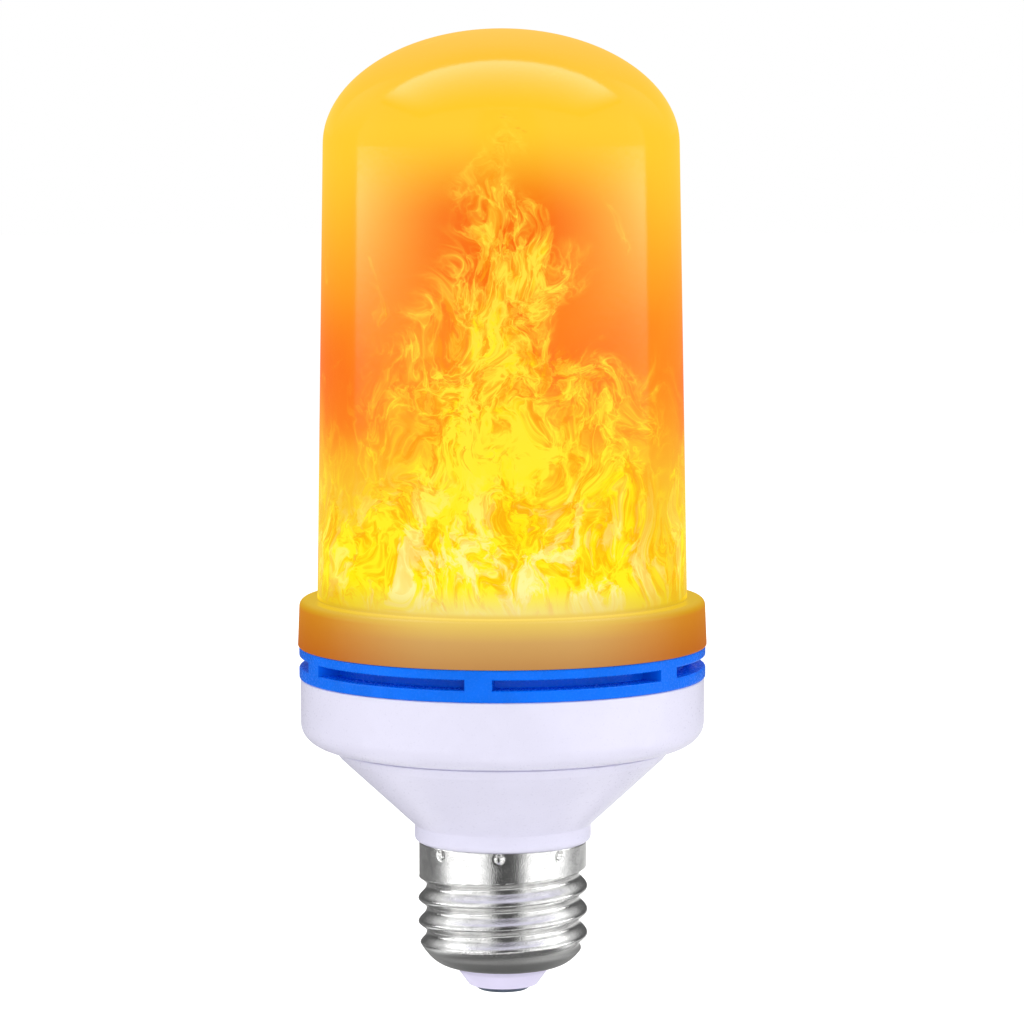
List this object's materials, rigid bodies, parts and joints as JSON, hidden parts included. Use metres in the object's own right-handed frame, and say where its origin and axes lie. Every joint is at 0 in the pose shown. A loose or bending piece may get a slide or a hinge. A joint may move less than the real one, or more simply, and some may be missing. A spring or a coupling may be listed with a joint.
{
  "type": "flame effect led bulb",
  "caption": "Screw-cap LED lamp with a tall domed amber diffuser showing a flame pattern, a blue slotted vent ring and a white funnel-shaped driver housing.",
  "frame": {"origin": "tip of the centre contact, on the lamp's axis", "axes": "+Z along the lamp's axis from the cap to the dome, -Y towards the viewer of the picture"},
  "size_m": [0.063, 0.063, 0.1484],
  "materials": {
    "flame_diffuser": "translucent diffusing plastic lit from inside, glossy outside",
    "blue_plastic": "glossy saturated blue moulding",
    "white_plastic": "glossy faintly lilac white moulding",
    "nickel": "bright nickel-plated sheet, dull at the stamped shoulder",
    "insulator_plastic": "satin faintly lilac white moulding",
    "contact_metal": "dull dark grey solder-tinned metal",
    "former_plastic": "plain white moulding",
    "led_board": "white solder mask with pale yellow LED packages",
    "driver_board": "green solder mask",
    "chip_black": "matt black epoxy",
    "capacitor_sleeve": "black printed-free sleeve with a bare top",
    "shrink_sleeve": "black heat-shrink sleeve",
    "resistor_body": "blue-grey enamel",
    "red_lead": "soft red insulation",
    "black_lead": "soft black insulation",
    "pin_brass": "tinned brass",
    "screw_steel": "zinc-plated steel"
  },
  "bodies": {
    "root": {"diffuser_cover": "flame_diffuser", "vent_ring": "blue_plastic", "driver_housing": "white_plastic", "screw_shell": "nickel", "cap_insulator": "insulator_plastic", "center_contact": "contact_metal", "led_former": "former_plastic", "led_flex_board": "led_board", "top_led_board": "led_board", "led_base_board": "led_board", "driver_board": "driver_board", "bridge_rectifier": "chip_black", "driver_chip": "chip_black", "flame_chip": "chip_black", "bulk_capacitor": "capacitor_sleeve", "output_capacitor": "capacitor_sleeve", "inductor": "shrink_sleeve", "fusible_resistor": "resistor_body", "live_lead": "red_lead", "neutral_lead": "black_lead", "positive_pin": "pin_brass", "negative_pin": "pin_brass", "data_pin": "pin_brass", "base_screw_1": "screw_steel", "base_screw_2": "screw_steel", "base_screw_3": "screw_steel"}
  },
  "joints": []
}
